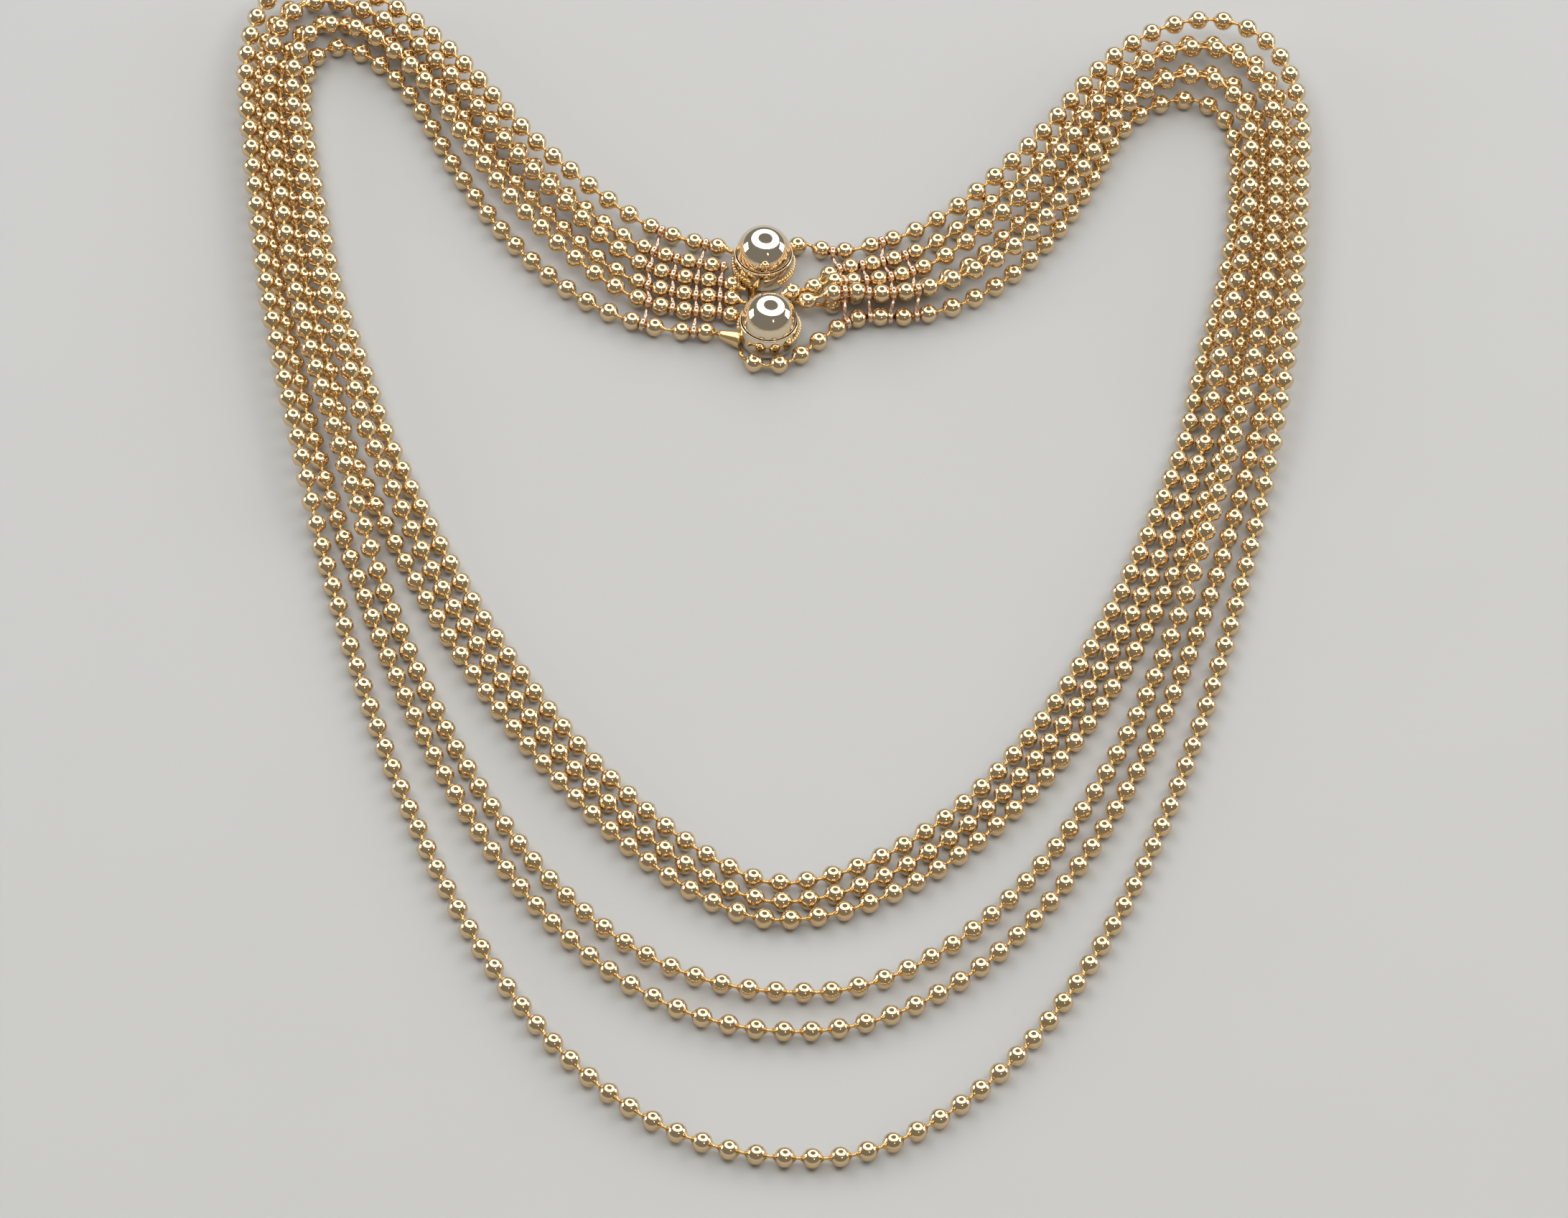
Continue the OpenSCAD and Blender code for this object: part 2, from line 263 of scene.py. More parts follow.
RIGHT = Half(
    side=Side.RIGHT,
    outer=Edge(x=8.0, y=61.2, slope=0.18, size=30.5, length=43),
    inner=Edge(x=13.0, y=50.0, slope=-0.12, size=18.2, length=46),
    across=(1, 0.81, 0.67, 0.455, 0.24, 0),
    across_far=(1, 0.85, 0.57, 0.42, 0.15, 0),
    back_lift={2: (-9, -8), 4: (16, 32), 6: (18, 34)},
    arm_lift={2: (24, 42), 4: (-8, 12), 6: (14, 38)},
    arm=(Station(y=41, x=66.3, width=11.1), Station(y=54, x=68.1, width=9.6),
         Station(y=66, x=69.4, width=8.6), Station(y=76, x=70.2, width=8.6)),
    turn=(92, 74, 50, 42),
    tails=(((-4.75, 44.2, 1.3), (-4.8, 43.05, 1.3), (-3.75, 42.1, 1.3), (-0.55, 41.5, 1.3),
            (2.6, 42.95, 1.3), (5.15, 45.45, 1.3), (7.7, 47.75, 1.3), (9.6, 49.2, 1.3)),
           ((2.35, 51.9, 1.15), (3.8, 50.95, 3.1), (7.4, 51.9, 3.75), (9.8, 52.2, 3.75)),
           ((2.15, 52.9, 0.8), (6.5, 52.0, 1.3), (8.6, 52.5, 1.3), (10.2, 53.5, 1.3)),
           ((-0.1, 52.45, 2.45), (1.5, 52.6, 2.9), (4.1, 53.4, 2.8), (7.0, 54.4, 3.1)),
           ((2.3, 53.9, 0.8), (6.2, 56.6, 1.3)),
           ((2.0, 61.7, 1.3), (3.4, 62.5, 1.3), (5.5, 61.9, 1.3))),
    spacers=((9.1, 8.9, 8.8, 8.7, 8.3, 7.6),
             (12.2, 12.1, 12.2, 11.9, 11.4, 0),
             (14.9, 15.3, 15.2, 15.1, 14.1, 14.1),
             (18.3, 18.5, 18.2, 18.0, 17.1, 0)),
    beads_before=(5, 2, 1, 3, 1, 2),
    pitch_before=(3.35, 3.6, 3.3, 3.0, 3.3, 3.3),
)


@dataclass(frozen=True)
class Routes:
    """Centre lines of the six strings.

    Attributes:
        low: Height of the lower layer.
        layer: Rise to the upper layer.
        flat_reach: Length over which a swag's flattening sets in.
        beside: Distance of strings 1 and 3 from string 2 in the front.
        beside_more: What strings 1, 2 and 3 add to it at the lowest point.
        beside_reach: Length over which that fades.
        far_span: Fractions of the band between which a string changes its share.
        even_by: Fraction of the turn by which the strings are evenly spread.
        down: Direction at the top of an arm.
    """

    low: float = 1.3
    layer: float = 2.15
    flat_reach: float = 6.8
    beside: float = 2.62
    beside_more: Triple = (0.3, 0.0, 0.2)
    beside_reach: float = 22.0
    far_span: tuple[float, float] = (0.2, 0.6)
    even_by: float = 0.7
    down: tuple[float, float] = (-0.1, -1.0)

    def front(self, k: int, side: Side, n: int = 300) -> np.ndarray:
        """Hanging front run from the lowest point outwards.

        The slope at length s is (s + flat tanh(s / reach)) / size, and the run is its sum.
        Strings 1 and 3 keep their distance to string 2.

        Args:
            k: String number.
            side: Half of the necklace.
            n: Steps.

        Returns:
            Plane points.
        """
        swag = SWAGS[k if k > 3 else 1]
        size, flat, length = (v[side.value] for v in (swag.size, swag.flat, swag.length))
        step = length / n

        def angle(s: np.ndarray) -> np.ndarray:
            """Angle of the slope at the lengths s."""
            return np.arctan((s + flat * np.tanh(s / self.flat_reach)) / size)

        middle = angle((np.arange(n) + 0.5) * step)
        run = np.cumsum(np.stack([np.cos(middle), np.sin(middle)], -1) * step, axis=0)
        p = np.array([swag.x * side.sign, swag.y]) + np.vstack([[0, 0], run])
        if k in (1, 3):
            s = np.arange(n + 1) * step
            more = self.beside_more[k - 1] * np.exp(-((s / self.beside_reach) ** 2))
            off = (self.beside + more) * (1 if k == 1 else -1)
            p = p + off[:, None] * np.stack([-np.sin(angle(s)), np.cos(angle(s))], -1)
        return p

    def share(self, k: int) -> float:
        """Even place of a string across the band, 0 outside and 1 inside."""
        return (STRINGS - k) / (STRINGS - 1)

    def height(self, x: np.ndarray | float,
               span: tuple[float, float] | None) -> np.ndarray | float:
        """Height at the places x: from the lower to the upper layer over a span, if any."""
        return self.low + (self.layer * smooth(x, *span) if span else 0 * x)

    def band(self, k: int, half: Half, n: int = 60) -> np.ndarray:
        """Back band from the clasp outwards, between the two edge curves."""
        t = np.linspace(0, 1, n + 1)
        far = smooth(t, *self.far_span)
        share = (half.across[k - 1] * (1 - far) + half.across_far[k - 1] * far)[:, None]
        p = half.outer.points(t) * (1 - share) + half.inner.points(t) * share
        return np.column_stack([p, self.height(p[:, 0], half.back_lift.get(k))])

    def turn(self, k: int, half: Half, n: int = 60) -> np.ndarray:
        """Turn from the back band into the arm, nested round the corner."""
        top, t = half.arm[-1], np.linspace(0, 1, n + 1)[1:-1]
        down = unit(np.array(self.down))
        outer_down, outer_back, inner_down, inner_back = half.turn
        outer = hermite(half.outer.end(), np.array([top.across(0), top.y]),
                        half.outer.direction() * outer_back, down * outer_down, t)
        inner = hermite(half.inner.end(), np.array([top.across(1), top.y]),
                        half.inner.direction() * inner_back, down * inner_down, t)
        even = smooth(t, 0, self.even_by)[:, None]
        p = outer + (inner - outer) * (half.across_far[k - 1] * (1 - even) + self.share(k) * even)
        return np.column_stack([p, np.full(len(t), self.low + (self.layer if k % 2 == 0 else 0))])

    def arm(self, k: int, half: Half, n: int = 14) -> np.ndarray:
        """Arm from its top down, and the front run to its lowest point."""
        flat = self.front(k, half.side)
        lift = half.arm_lift.get(k)
        run = np.column_stack([flat, self.height(flat[:, 1], lift)])
        stations = [(s.across(self.share(k)), s.y, float(self.height(s.y, lift)))
                    for s in half.arm[::-1]]
        p = np.array([*stations, run[-1]])
        curve = through(p, unit(np.array([*self.down, 0])), unit(run[-2] - run[-1]), n)
        return np.vstack([curve, run[-2::-1]])

    def near(self, k: int, half: Half, n: int = 14) -> np.ndarray:
        """Tail at the clasp and the back band."""
        band, tail = self.band(k, half), np.array(half.tails[k - 1]).reshape(-1, 3)
        if not len(tail):
            return band
        p = np.vstack([tail, band[:1]])
        return np.vstack([through(p, unit(p[1] - p[0]), unit(band[1] - band[0]), n), band[1:]])

    def side(self, k: int, half: Half) -> np.ndarray:
        """One half of a string, from the clasp to the lowest point of its front."""
        return np.vstack([self.near(k, half), self.turn(k, half), self.arm(k, half)])

    def whole(self, k: int) -> np.ndarray:
        """A whole string from its left end to its right end, in the part's frame."""
        left, right = (self.side(k, half) * half.flip for half in (LEFT, RIGHT))
        return np.vstack([left, right[-2::-1]]) - CENTRE

    def marks(self, k: int, half: Half) -> np.ndarray:
        """Lengths from the clasp end to the spacers on a string."""
        p = self.near(k, half)
        x = [row[k - 1] for row in half.spacers if row[k - 1] > 0]
        return np.interp(x, p[:, 0], lengths(p))


# Meshes


@dataclass
class Surface:
    """Points, faces and point attributes of one mesh, in millimetres."""

    points: np.ndarray
    faces: list[tuple[int, ...]]
    values: dict[str, np.ndarray]

    @staticmethod
    def join(parts: "list[Surface]") -> "Surface":
        """All parts as one mesh; an attribute that a part lacks is 0 there."""
        start = np.r_[0, np.cumsum([len(p.points) for p in parts])]
        names = {n for p in parts for n in p.values}
        return Surface(
            np.vstack([p.points for p in parts]),
            [tuple(i + o for i in f) for p, o in zip(parts, start.tolist()) for f in p.faces],
            {n: np.concatenate([p.values.get(n, np.zeros(len(p.points))) for p in parts])
             for n in names})

    def build(self, name: str, material: bpy.types.Material, slot: str,
              *nodes: str) -> bpy.types.Object:
        """Makes the Blender piece in metres and lets it ride on the root body.

        Args:
            name: Name of the piece.
            material: Its material.
            slot: Material slot of the record; not used.
            nodes: CAD nodes that it stands for.

        Returns:
            The new object.
        """
        mesh = bpy.data.meshes.new(name)
        mesh.from_pydata((self.points * MM).tolist(), [], self.faces)
        mesh.polygons.foreach_set("use_smooth", [True] * len(mesh.polygons))
        for key, value in self.values.items():
            attribute = mesh.attributes.new(key, "FLOAT", "POINT")
            attribute.data.foreach_set("value", value.astype(np.float32))
        mesh.materials.append(material)
        mesh.update()
        piece = bpy.data.objects.new(name, mesh)
        bpy.context.collection.objects.link(piece)
        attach(piece, "root")
        if nodes:
            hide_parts(*nodes)
        LOG.info("%s: %d faces", name, len(mesh.polygons))
        return piece


def turns(n: int) -> np.ndarray:
    """Angles of n even steps round a circle."""
    return np.arange(n) * 2 * math.pi / n


def loft(rings: np.ndarray) -> Surface:
    """Skin over rings of points with a cap on both ends.

    Its faces point outwards when the rings turn left-handed along their way.

    Args:
        rings: Array of rings, points and coordinates.

    Returns:
        The skin.
    """
    n, m = rings.shape[:2]
    i, j = np.meshgrid(np.arange(n - 1), np.arange(m), indexing="ij")
    beside = (j + 1) % m
    quads = np.stack([i * m + j, (i + 1) * m + j, (i + 1) * m + beside, i * m + beside], -1)
    faces = [tuple(f) for f in quads.reshape(-1, 4).tolist()]
    faces += [tuple(range(m)), tuple(range(n * m - 1, (n - 1) * m - 1, -1))]
    return Surface(rings.reshape(-1, 3), faces, {})


def hoops(centres: np.ndarray, ways: np.ndarray, radii: np.ndarray, sides: int,
          reference: np.ndarray = UP) -> np.ndarray:
    """Circles square to the ways: centre + radius (cos a across + sin a up).

    Args:
        centres: Centre of each circle.
        ways: Direction of the axis of each circle.
        radii: Radius of each circle.
        sides: Points in a circle.
        reference: Direction that across is square to.

    Returns:
        Array of circles, points and coordinates.
    """
    across = unit(np.cross(ways, reference))
    up = np.cross(across, ways)
    a = turns(sides)
    spread = across[:, None] * np.cos(a)[None, :, None] + up[:, None] * np.sin(a)[None, :, None]
    return centres[:, None] + radii[:, None, None] * spread


def lathe(profile: list[tuple[float, float]] | np.ndarray, sides: int) -> Surface:
    """Profile of (radius, height) turned round Z, from the inside foot outwards and up.

    Args:
        profile: Corner points. A radius of 0 at an end closes the pole, and a last point
            that is also the first one closes the profile.
        sides: Steps round the axis.

    Returns:
        The skin.
    """
    r, z = np.array(profile, float).T
    looped = r[0] == r[-1] > 0 and z[0] == z[-1]
    if looped:
        r, z = r[:-1], z[:-1]
    a = turns(sides)
    points, index, count = [], [], 0
    for i, (radius, height) in enumerate(zip(r, z)):
        pole = i in (0, len(r) - 1) and radius == 0
        ring = np.stack([radius * np.cos(a), radius * np.sin(a), np.full(sides, height)], -1)
        points.append(ring[:1] if pole else ring)
        index.append([count] * sides if pole else list(range(count, count + sides)))
        count += len(points[-1])
    if looped:
        index.append(index[0])
    faces = []
    for low, high in zip(index[:-1], index[1:]):
        for j in range(sides):
            q = (j + 1) % sides
            faces.append(tuple(dict.fromkeys((low[j], low[q], high[q], high[j]))))
    return Surface(np.vstack(points), faces, {})


def ball(d: float, z: float, rows: int, sides: int) -> Surface:
    """Sphere of diameter d round the height z, by latitude and longitude."""
    a = np.linspace(-math.pi / 2, math.pi / 2, rows)
    r = d / 2 * np.cos(a)
    r[[0, -1]] = 0
    return lathe(np.column_stack([r, z + d / 2 * np.sin(a)]), sides)


def placed(surface: Surface, place: Triple | np.ndarray, way: np.ndarray = UP) -> Surface:
    """The surface with its Z along a way, moved to a place and into the part's frame."""
    w = unit(np.asarray(way, float))
    side = ALONG_X if abs(w[2]) > UPRIGHT else unit(np.cross(UP, w))
    turned = surface.points @ np.stack([side, np.cross(w, side), w])
    return Surface(turned + np.asarray(place, float) - CENTRE, surface.faces, surface.values)


# Finishes


class Socket:
    """A shader value: Python operators on it add Math nodes."""

    def __init__(self, finish: "Nodes", link: bpy.types.NodeSocket) -> None:
        """Wraps a socket of a finish."""
        self.finish, self.link = finish, link

    def _math(self, kind: str, *values: "Socket | float") -> "Socket":
        """A Math node of this kind over the values."""
        return self.finish.add("ShaderNodeMath", {"operation": kind}, dict(enumerate(values)))

    def __add__(self, other: "Socket | float") -> "Socket":
        """Sum."""
        return self._math("ADD", self, other)

    def __mul__(self, other: "Socket | float") -> "Socket":
        """Product."""
        return self._math("MULTIPLY", self, other)

    __radd__ = __add__
    __rmul__ = __mul__


class Nodes:
    """Node tree of one material."""

    def __init__(self, name: str) -> None:
        """Starts a material with its Principled shader."""
        self.material = bpy.data.materials.new(name)
        self.material.use_nodes = True
        self.tree = self.material.node_tree
        self.shader = self.tree.nodes["Principled BSDF"]

    def add(self, kind: str, settings: dict, values: dict, out: int | str = 0) -> Socket:
        """Adds a node.

        Args:
            kind: Blender's type of the node.
            settings: Its properties.
            values: Numbers, colours or sockets by input name or number.
            out: Output that is wanted.

        Returns:
            The output.
        """
        node = self.tree.nodes.new(kind)
        for key, value in settings.items():
            setattr(node, key, value)
        for key, value in values.items():
            self.feed(node.inputs[key], value)
        return Socket(self, node.outputs[out])

    def feed(self, socket: bpy.types.NodeSocket, value: "Socket | float | tuple") -> None:
        """Links or sets one input."""
        if isinstance(value, Socket):
            self.tree.links.new(value.link, socket)
        else:
            socket.default_value = value

    def shade(self, key: str, value: "Socket | float | tuple") -> None:
        """Links or sets one input of the Principled shader."""
        self.feed(self.shader.inputs[key], value)

    def mix(self, share: "Socket | float", a: "Socket | Triple", b: "Socket | Triple") -> Socket:
        """Colour from a to b."""
        a, b = (v if isinstance(v, Socket) else (*v, 1) for v in (a, b))
        return self.add("ShaderNodeMix", {"data_type": "RGBA"}, {0: share, 6: a, 7: b}, 2)

    def noise(self, scale: float, detail: float) -> Socket:
        """Noise on Object coordinates."""
        place = self.add("ShaderNodeTexCoord", {}, {}, "Object")
        return self.add("ShaderNodeTexNoise", {},
                        {"Vector": place, "Scale": scale, "Detail": detail})

    def attribute(self, name: str) -> Socket:
        """A point attribute of the piece, 0 where the piece has none."""
        return self.add("ShaderNodeAttribute", {"attribute_name": name}, {}, "Fac")


@dataclass(frozen=True)
class Gold:
    """Polished gold: warm metal, a little deeper in places, with fine handling marks.

    Attributes:
        name: Name of the material.
        light, deep: Colours that it goes between.
        roughness: Least roughness.
        marks: What the handling marks add to it.
        mark_scale, coarse_scale: Scales of the fine and of the broad noise.
        broad_share: Weight of the broad noise in the colour.
        bump, bump_depth: Strength and depth in metres of the marks' relief.
        link: Deeper orange of a thread and the bead collars, where the piece has one: painted
            reflection of gold in the neighbouring gold.
    """

    name: str
    light: Triple
    deep: Triple
    roughness: float
    marks: float
    mark_scale: float
    coarse_scale: float = 260.0
    broad_share: float = 0.5
    bump: float = 0.02
    bump_depth: float = 0.0002
    link: Triple | None = None

    def make(self) -> bpy.types.Material:
        """Builds the material.

        Colour goes from light to deep with a broad noise and each bead's own tone,
        roughness rises with a fine noise, and a shallow bump follows the same noise.
        """
        n = Nodes(self.name)
        fine, broad = n.noise(self.mark_scale, detail=4.0), n.noise(self.coarse_scale, detail=2.0)
        share = broad * self.broad_share + n.attribute("tone")
        colour = n.mix(share, self.light, self.deep)
        # Painted reflection: threads and bead collars mix towards the deeper orange link colour,
        # which stands in for gold reflected in gold between the beads.
        if self.link:
            colour = n.mix(n.attribute("link"), colour, self.link)
        n.shade("Base Color", colour)
        n.shade("Roughness", fine * self.marks + self.roughness)
        n.shade("Metallic", 1.0)
        n.shade("Normal", n.add(
            "ShaderNodeBump", {},
            {"Height": fine, "Strength": self.bump, "Distance": self.bump_depth}, "Normal"))
        return n.material


@dataclass(frozen=True)
class Plain:
    """Even matt finish of the floor."""

    name: str
    colour: Triple
    roughness: float
    mottle_scale: float = 40.0
    darker: float = 0.97

    def make(self) -> bpy.types.Material:
        """Builds the material with a faint mottle."""
        n = Nodes(self.name)
        deep = tuple(c * self.darker for c in self.colour)
        mottle = n.noise(self.mottle_scale, detail=3.0)
        n.shade("Base Color", n.mix(mottle, self.colour, deep))
        n.shade("Roughness", self.roughness)
        return n.material


@dataclass(frozen=True)
class Glow:
    """Even white light of the ring."""

    name: str
    strength: float

    def make(self) -> bpy.types.Material:
        """Builds the material."""
        n = Nodes(self.name)
        n.shade("Base Color", (0, 0, 0, 1))
        n.shade("Emission Color", (1, 1, 1, 1))
        n.shade("Emission Strength", self.strength)
        return n.material


# The beads' link colour is painted reflection: deeper orange on threads and bead collars for gold
# reflected in the neighbouring gold.
BEAD_GOLD = Gold("bead_gold", light=(0.81, 0.62, 0.38), deep=(0.73, 0.53, 0.29),
                 roughness=0.08, marks=0.08, mark_scale=1500.0, link=(0.80, 0.51, 0.19))
CLASP_GOLD = Gold("clasp_gold", light=(0.80, 0.68, 0.51), deep=(0.75, 0.62, 0.44),
                  roughness=0.03, marks=0.05, mark_scale=900.0)
WIRE_GOLD = Gold("wire_gold", light=(0.84, 0.61, 0.31), deep=(0.74, 0.49, 0.21),
                 roughness=0.16, marks=0.12, mark_scale=1800.0)
SPACER_GOLD = Gold("spacer_gold", light=(0.80, 0.58, 0.43), deep=(0.66, 0.43, 0.30),
                   roughness=0.16, marks=0.14, mark_scale=1600.0)


# Sub-assemblies


@dataclass
class Rings:
    """Rings along a string, with two values for its finish.

    Attributes:
        centre, way, radius: Place, axis and size of each ring.
        link: How much of a ring is thread and takes its painted-reflection colour, from 0 to 1.
        tone: Depth of colour of the bead that it belongs to.
    """

    centre: np.ndarray
    way: np.ndarray
    radius: np.ndarray
    link: np.ndarray
    tone: np.ndarray

    def backwards(self) -> "Rings":
        """The rings in the other order."""
        return Rings(*(v[::-1] for v in vars(self).values()))

    @staticmethod
    def join(parts: "list[Rings]") -> "Rings":
        """All parts one after the other."""
        return Rings(*(np.concatenate(v) for v in zip(*(vars(p).values() for p in parts))))

    def skin(self, sides: int) -> Surface:
        """The rings as one skin that carries their values."""
        skin = loft(hoops(self.centre, self.way, self.radius, sides))
        skin.values = {"link": np.repeat(self.link, sides), "tone": np.repeat(self.tone, sides)}
        return skin


@dataclass
class BeadString:
    """One string: polished beads on a thread that flares into each of them.

    Attributes:
        number: Number of the string.
        routes: Centre lines.
        bead_d, close_d: Diameters of a bead, and of one beside the spacers.
        thread_r, collar_r, end_r: Radii of the thread, where it meets a bead, and at an end.
        pitch, scatter: Distance from bead to bead, and its spread.
        beside_ring: Distance from a bead to the spacer beside it.
        lone: Two spacers nearer than this many pitches hold one bead between them.
        way_reach, end_reach: Half lengths over which a direction is taken.
        end_step: Distance of the rings on a bare end.
        thread_rings: Places of the thin rings between two beads, from 0 to 1.
        collar_painted_reflection: How much of a bead's first and last ring takes the thread's
            colour, a painted reflection at the collar.
        tone_spread: Greatest depth of a bead's own tone.
        sides, rows: Points in a ring, and rings on a bead.
    """

    number: int
    routes: Routes
    bead_d: float = 2.6
    close_d: float = 2.5
    thread_r: float = 0.2
    collar_r: float = 0.4
    end_r: float = 0.3
    pitch: float = 3.4
    scatter: float = 0.03
    beside_ring: float = 1.58
    lone: float = 1.4
    way_reach: float = 0.5
    end_reach: float = 0.1
    end_step: float = 0.8
    thread_rings: tuple[float, float] = (0.27, 0.73)
    collar_painted_reflection: float = 0.6
    tone_spread: float = 0.35
    sides: int = 12
    rows: int = 8

    def side_places(self, half: Half) -> tuple[list[float], float]:
        """Bead places from the clasp end to the last spacer.

        Args:
            half: Half of the necklace.

        Returns:
            The lengths of the beads, and the length of the last spacer.
        """
        marks = self.routes.marks(self.number, half)
        before, pitch = half.beads_before[self.number - 1], half.pitch_before[self.number - 1]
        places = [marks[0] - self.beside_ring - i * pitch for i in range(before)][::-1]
        for a, b in zip(marks[:-1], marks[1:]):
            if b - a < self.lone * self.pitch:
                places.append((a + b) / 2)
            else:
                places += [a + self.beside_ring, b - self.beside_ring]
        return places, float(marks[-1])

    def places(self, total: float) -> tuple[np.ndarray, np.ndarray]:
        """Lengths and diameters of all beads of a string of this total length."""
        left, left_mark = self.side_places(LEFT)
        right, right_mark = self.side_places(RIGHT)
        first, last = left_mark + self.beside_ring, total - right_mark - self.beside_ring
        n = round((last - first) / self.pitch)
        run = np.linspace(first, last, n + 1)
        seed = np.random.default_rng(PLACE_SEED + self.number)
        run[1:-1] += seed.normal(0, self.scatter, n - 1)
        s = np.concatenate([left, run, total - np.array(right[::-1])])
        d = np.full(len(s), self.bead_d)
        d[:len(left) + 1] = self.close_d
        d[len(s) - len(right) - 1:] = self.close_d
        return s, d

    def beads(self, p: np.ndarray, s: np.ndarray, places: np.ndarray, r: np.ndarray) -> Rings:
        """Rings of the beads and of the thread between them.

        A bead is rings at equal latitudes: height r sin, radius r cos. The rings after the
        last bead are left off again.

        Args:
            p, s: Route, and the length along it.
            places: Lengths at which the beads are.
            r: Radii of the beads.

        Returns:
            The rings.
        """
        n, thin = len(places), len(self.thread_rings)
        centre, way = at(p, s, places), way_at(p, s, places, self.way_reach)
        ahead = unit(np.roll(centre, -1, axis=0) - centre)
        latitude = np.linspace(-1, 1, self.rows) * np.arccos(self.collar_r / r)[:, None]
        bead = centre[:, None] + way[:, None] * (r[:, None] * np.sin(latitude))[..., None]
        share = np.array(self.thread_rings)[:, None]
        thread = bead[:, -1:] * (1 - share) + np.roll(bead[:, :1], -1, axis=0) * share
        # Painted reflection: each bead's first and last ring take part of the thread's deeper
        # orange.
        link = np.zeros((n, self.rows))
        link[:, [0, -1]] = self.collar_painted_reflection
        tone = np.random.default_rng(TONE_SEED * self.number).uniform(0, self.tone_spread, n)
        pairs = ((bead, thread),
                 (np.repeat(way[:, None], self.rows, 1), np.repeat(ahead[:, None], thin, 1)),
                 (r[:, None] * np.cos(latitude), np.full((n, thin), self.thread_r)),
                 (link, np.ones((n, thin))),
                 (np.repeat(tone[:, None], self.rows, 1), np.repeat(tone[:, None], thin, 1)))
        return Rings(*(np.concatenate(v, 1).reshape(-1, *v[0].shape[2:])[:-thin] for v in pairs))

    def bare(self, p: np.ndarray, s: np.ndarray, edge: float, stop: float) -> Rings:
        """Rings of the bare thread from an end of the route to the bead nearest to it."""
        n = max(2, int(abs(stop - edge) / self.end_step))
        x = np.linspace(edge, stop, n, endpoint=False)
        # The bare thread takes the painted-reflection colour in full.
        return Rings(at(p, s, x), way_at(p, s, x, self.end_reach),
                     np.full(n, self.end_r), np.ones(n), np.zeros(n))

    def surface(self) -> Surface:
        """The string as one skin."""
        p = self.routes.whole(self.number)
        s = lengths(p)
        places, d = self.places(s[-1])
        r = d / 2
        head = self.bare(p, s, 0.0, places[0] - r[0])
        foot = self.bare(p, s, s[-1], places[-1] + r[-1]).backwards()
        return Rings.join([head, self.beads(p, s, places, r), foot]).skin(self.sides)

    def build(self, gold: bpy.types.Material) -> None:
        """Makes the piece in place of its CAD tube."""
        self.surface().build(f"beads_{self.number}", gold, "bead_gold", f"string_{self.number}")


@dataclass
class Spacer:
    """Pierced rings round the threads, joined by bars.

    Attributes:
        half, row: Half of the necklace, and number of the spacer there.
        routes: Centre lines.
        ring_d, hole_d, thick: Size of a ring.
        edge, bevel: Radius of its rounded edges, and the share of it that their middle is in.
        sides: Steps round a ring.
        bar_d, bar_sides: Diameter of a bar, and points round it.
        bar_depth: How far a bar reaches into a ring.
        way_reach: Half length over which a thread's direction is taken.
    """

    half: Half
    row: int
    routes: Routes
    ring_d: float = 1.75
    hole_d: float = 1.0
    thick: float = 0.6
    edge: float = 0.12
    bevel: float = 0.3
    sides: int = 24
    bar_d: float = 0.5
    bar_sides: int = 8
    bar_depth: float = 0.2
    way_reach: float = 0.3

    def ring(self) -> Surface:
        """Flat ring with rounded edges: a rounded box turned round its axis."""
        r, q, h, e = self.ring_d / 2, self.hole_d / 2, self.thick / 2, self.edge
        c = self.bevel * e
        return lathe([(q, -h + e), (q + e, -h), (r - e, -h), (r - c, -h + c), (r, -h + e),
                      (r, h - e), (r - c, h - c), (r - e, h), (q + e, h), (q, h - e),
                      (q, -h + e)], self.sides)

    def marks(self) -> list[tuple[np.ndarray, np.ndarray]]:
        """Centre and axis of each ring."""
        found = []
        for k, x in enumerate(self.half.spacers[self.row - 1], start=1):
            if x > 0:
                p = self.routes.near(k, self.half)
                s = lengths(p)
                m = float(np.interp(x, p[:, 0], s))
                flip = self.half.flip
                found.append((at(p, s, m) * flip, way_at(p, s, m, self.way_reach) * flip))
        return found

    def rim(self, centre: np.ndarray, way: np.ndarray, towards: np.ndarray) -> np.ndarray:
        """Point in a ring's metal that faces a place."""
        v = towards - centre
        return centre + (self.ring_d / 2 - self.bar_depth) * unit(v - way * (v @ way))

    def bar(self, a: np.ndarray, b: np.ndarray) -> Surface:
        """Round bar from a to b with a ring halfway."""
        line = np.array([a, a + (b - a) / 2, b]) - CENTRE
        ways = np.repeat(unit(b - a)[None], len(line), 0)
        radii = np.full(len(line), self.bar_d / 2)
        return loft(hoops(line, ways, radii, self.bar_sides, ALONG_X))

    def surface(self) -> Surface:
        """All rings and bars of this spacer."""
        marks = self.marks()
        rings = [placed(self.ring(), centre, way) for centre, way in marks]
        bars = [self.bar(self.rim(c1, w1, c2), self.rim(c2, w2, c1))
                for (c1, w1), (c2, w2) in zip(marks[:-1], marks[1:])]
        return Surface.join([*rings, *bars])

    def build(self, gold: bpy.types.Material) -> None:
        """Makes the piece in place of its CAD node."""
        name = f"spacer_{self.half.side.name.lower()}_{self.row}"
        self.surface().build(f"{name}_detail", gold, "spacer_gold", name)


@dataclass(frozen=True)
class Wire:
    """Arc of twisted wire round a cup: its height, and start and sweep in degrees."""

    z: float
    start: float
    sweep: float


